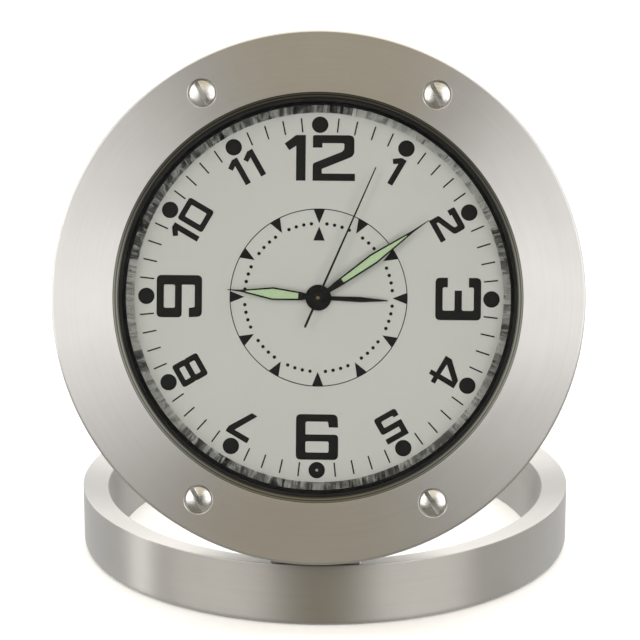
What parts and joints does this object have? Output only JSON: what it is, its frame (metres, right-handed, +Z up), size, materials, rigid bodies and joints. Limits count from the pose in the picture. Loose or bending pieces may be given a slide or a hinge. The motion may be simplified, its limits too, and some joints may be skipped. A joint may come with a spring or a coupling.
{
  "type": "travel alarm clock",
  "caption": "Round analogue travel alarm clock in a wide steel bezel that folds down flat onto its own ring stand.",
  "frame": {"origin": "centre of the footprint on the surface that the stand ring rests on, with the head open", "axes": "+Z up, the dial faces -Y and leans back, +X to the viewer's right"},
  "size_m": [0.09, 0.0916, 0.0986],
  "materials": {
    "brushed_bezel": "circular brushed, satin",
    "brushed_ring": "brushed, satin",
    "case_steel": "fine turned, satin",
    "screw_steel": "polished",
    "crystal_glass": "clear, polished",
    "gasket_black": "satin black",
    "rehaut_polish": "mirror polished",
    "dial_silver": "satin silver grey",
    "bead_glass": "clear bead",
    "hinge_steel": "satin",
    "spacer_plastic": "moulded",
    "plate_plastic": "moulded black",
    "board_green": "solder mask",
    "nickel_can": "drawn can",
    "chip_black": "epoxy drop",
    "core_iron": "stamped",
    "copper_wire": "enamelled wire",
    "contact_brass": "stamped",
    "cover_plastic": "fine textured black",
    "door_plastic": "moulded black",
    "knob_plastic": "moulded grey",
    "wheel_brass": "cut",
    "wheel_plastic": "moulded",
    "magnet_black": "sintered",
    "hand_black": "satin black",
    "lume_green": "luminous paint"
  },
  "bodies": {
    "stand": {"stand_ring": "brushed_ring", "ring_hinge_leaf": "hinge_steel", "ring_hinge_screws": "screw_steel", "hinge_pin": "screw_steel"},
    "clock_head": {"bezel": "brushed_bezel", "case_body": "case_steel", "bezel_screws": "screw_steel", "crystal": "crystal_glass", "crystal_gasket": "gasket_black", "rehaut_ring": "rehaut_polish", "dial": "dial_silver", "dial_bead": "bead_glass", "head_hinge_leaf": "hinge_steel", "head_hinge_screws": "screw_steel", "movement_spacer": "spacer_plastic", "movement_spacer_screws": "screw_steel", "movement_screws": "screw_steel", "movement_plate_screws": "screw_steel", "movement_front_plate": "plate_plastic", "movement_rear_plate": "plate_plastic", "circuit_board": "board_green", "quartz_crystal": "nickel_can", "driver_chip": "chip_black", "stator": "core_iron", "coil_core": "core_iron", "coil_bobbin": "spacer_plastic", "coil_winding": "copper_wire", "battery": "nickel_can", "battery_contacts": "contact_brass", "buzzer_disc": "contact_brass", "back_cover": "cover_plastic", "back_cover_screws": "screw_steel"},
    "battery_door": {"battery_door": "door_plastic"},
    "alarm_switch": {"alarm_switch": "knob_plastic"},
    "alarm_hand": {"alarm_wheel": "wheel_plastic", "alarm_hand": "hand_black"},
    "hour_hand": {"hour_wheel": "wheel_plastic", "hour_hand": "hand_black", "hour_hand_lume": "lume_green"},
    "minute_hand": {"minute_wheel": "wheel_brass", "minute_hand": "hand_black", "minute_hand_lume": "lume_green"},
    "second_hand": {"second_wheel": "wheel_brass", "second_hand": "hand_black"},
    "third_wheel": {"third_wheel": "wheel_brass"},
    "intermediate_wheel": {"intermediate_wheel": "wheel_plastic"},
    "motion_work_wheel": {"motion_work_wheel": "wheel_plastic"},
    "rotor": {"rotor": "wheel_brass", "rotor_magnet": "magnet_black"},
    "time_setter": {"time_set_arbor": "wheel_brass", "time_set_knob": "knob_plastic"},
    "alarm_setter": {"alarm_set_arbor": "wheel_brass", "alarm_set_knob": "knob_plastic"}
  },
  "joints": [
    {"name": "head_fold", "type": "hinge", "parent": "stand", "child": "clock_head", "pos_m": [0, -0.04321, 0.0121], "axis": [-1, 0, 0], "range_deg": [0, 75]},
    {"name": "time_setting", "type": "hinge", "parent": "clock_head", "child": "time_setter", "pos_m": [0.008, -0.02651, 0.05318], "axis": [0, 0.9659, -0.2588], "continuous": true},
    {"name": "minute_turn", "type": "hinge", "parent": "clock_head", "child": "minute_hand", "pos_m": [0, -0.02651, 0.05318], "axis": [0, 0.9659, -0.2588], "continuous": true},
    {"name": "hour_turn", "type": "hinge", "parent": "clock_head", "child": "hour_hand", "pos_m": [0, -0.02651, 0.05318], "axis": [0, 0.9659, -0.2588], "continuous": true},
    {"name": "second_turn", "type": "hinge", "parent": "clock_head", "child": "second_hand", "pos_m": [0, -0.02651, 0.05318], "axis": [0, 0.9659, -0.2588], "continuous": true},
    {"name": "motion_work_turn", "type": "hinge", "parent": "clock_head", "child": "motion_work_wheel", "pos_m": [0.004, -0.02651, 0.05318], "axis": [0, 0.9659, -0.2588], "continuous": true},
    {"name": "third_turn", "type": "hinge", "parent": "clock_head", "child": "third_wheel", "pos_m": [0, -0.02492, 0.05909], "axis": [0, 0.9659, -0.2588], "continuous": true},
    {"name": "intermediate_turn", "type": "hinge", "parent": "clock_head", "child": "intermediate_wheel", "pos_m": [0, -0.02763, 0.049], "axis": [0, 0.9659, -0.2588], "continuous": true},
    {"name": "rotor_turn", "type": "hinge", "parent": "clock_head", "child": "rotor", "pos_m": [0, -0.0285, 0.04576], "axis": [0, 0.9659, -0.2588], "continuous": true},
    {"name": "alarm_setting", "type": "hinge", "parent": "clock_head", "child": "alarm_setter", "pos_m": [-0.0064, -0.02651, 0.05318], "axis": [0, 0.9659, -0.2588], "continuous": true},
    {"name": "alarm_turn", "type": "hinge", "parent": "clock_head", "child": "alarm_hand", "pos_m": [0, -0.02651, 0.05318], "axis": [0, 0.9659, -0.2588], "continuous": true},
    {"name": "battery_door_turn", "type": "hinge", "parent": "clock_head", "child": "battery_door", "pos_m": [0.01148, -0.02315, 0.06573], "axis": [0, 0.9659, -0.2588], "range_deg": [0, 60]},
    {"name": "alarm_switch_slide", "type": "slide", "parent": "clock_head", "child": "alarm_switch", "axis": [1, 0, 0], "range_m": [0, 0.003]}
  ],
  "couplings": [
    {"joint": "minute_turn", "follows": "time_setting", "ratio": 1},
    {"joint": "hour_turn", "follows": "time_setting", "ratio": 0.083333},
    {"joint": "second_turn", "follows": "time_setting", "ratio": 60},
    {"joint": "motion_work_turn", "follows": "time_setting", "ratio": -0.33333},
    {"joint": "third_turn", "follows": "time_setting", "ratio": -8},
    {"joint": "intermediate_turn", "follows": "time_setting", "ratio": -300},
    {"joint": "rotor_turn", "follows": "time_setting", "ratio": 1800},
    {"joint": "alarm_turn", "follows": "alarm_setting", "ratio": -1}
  ]
}
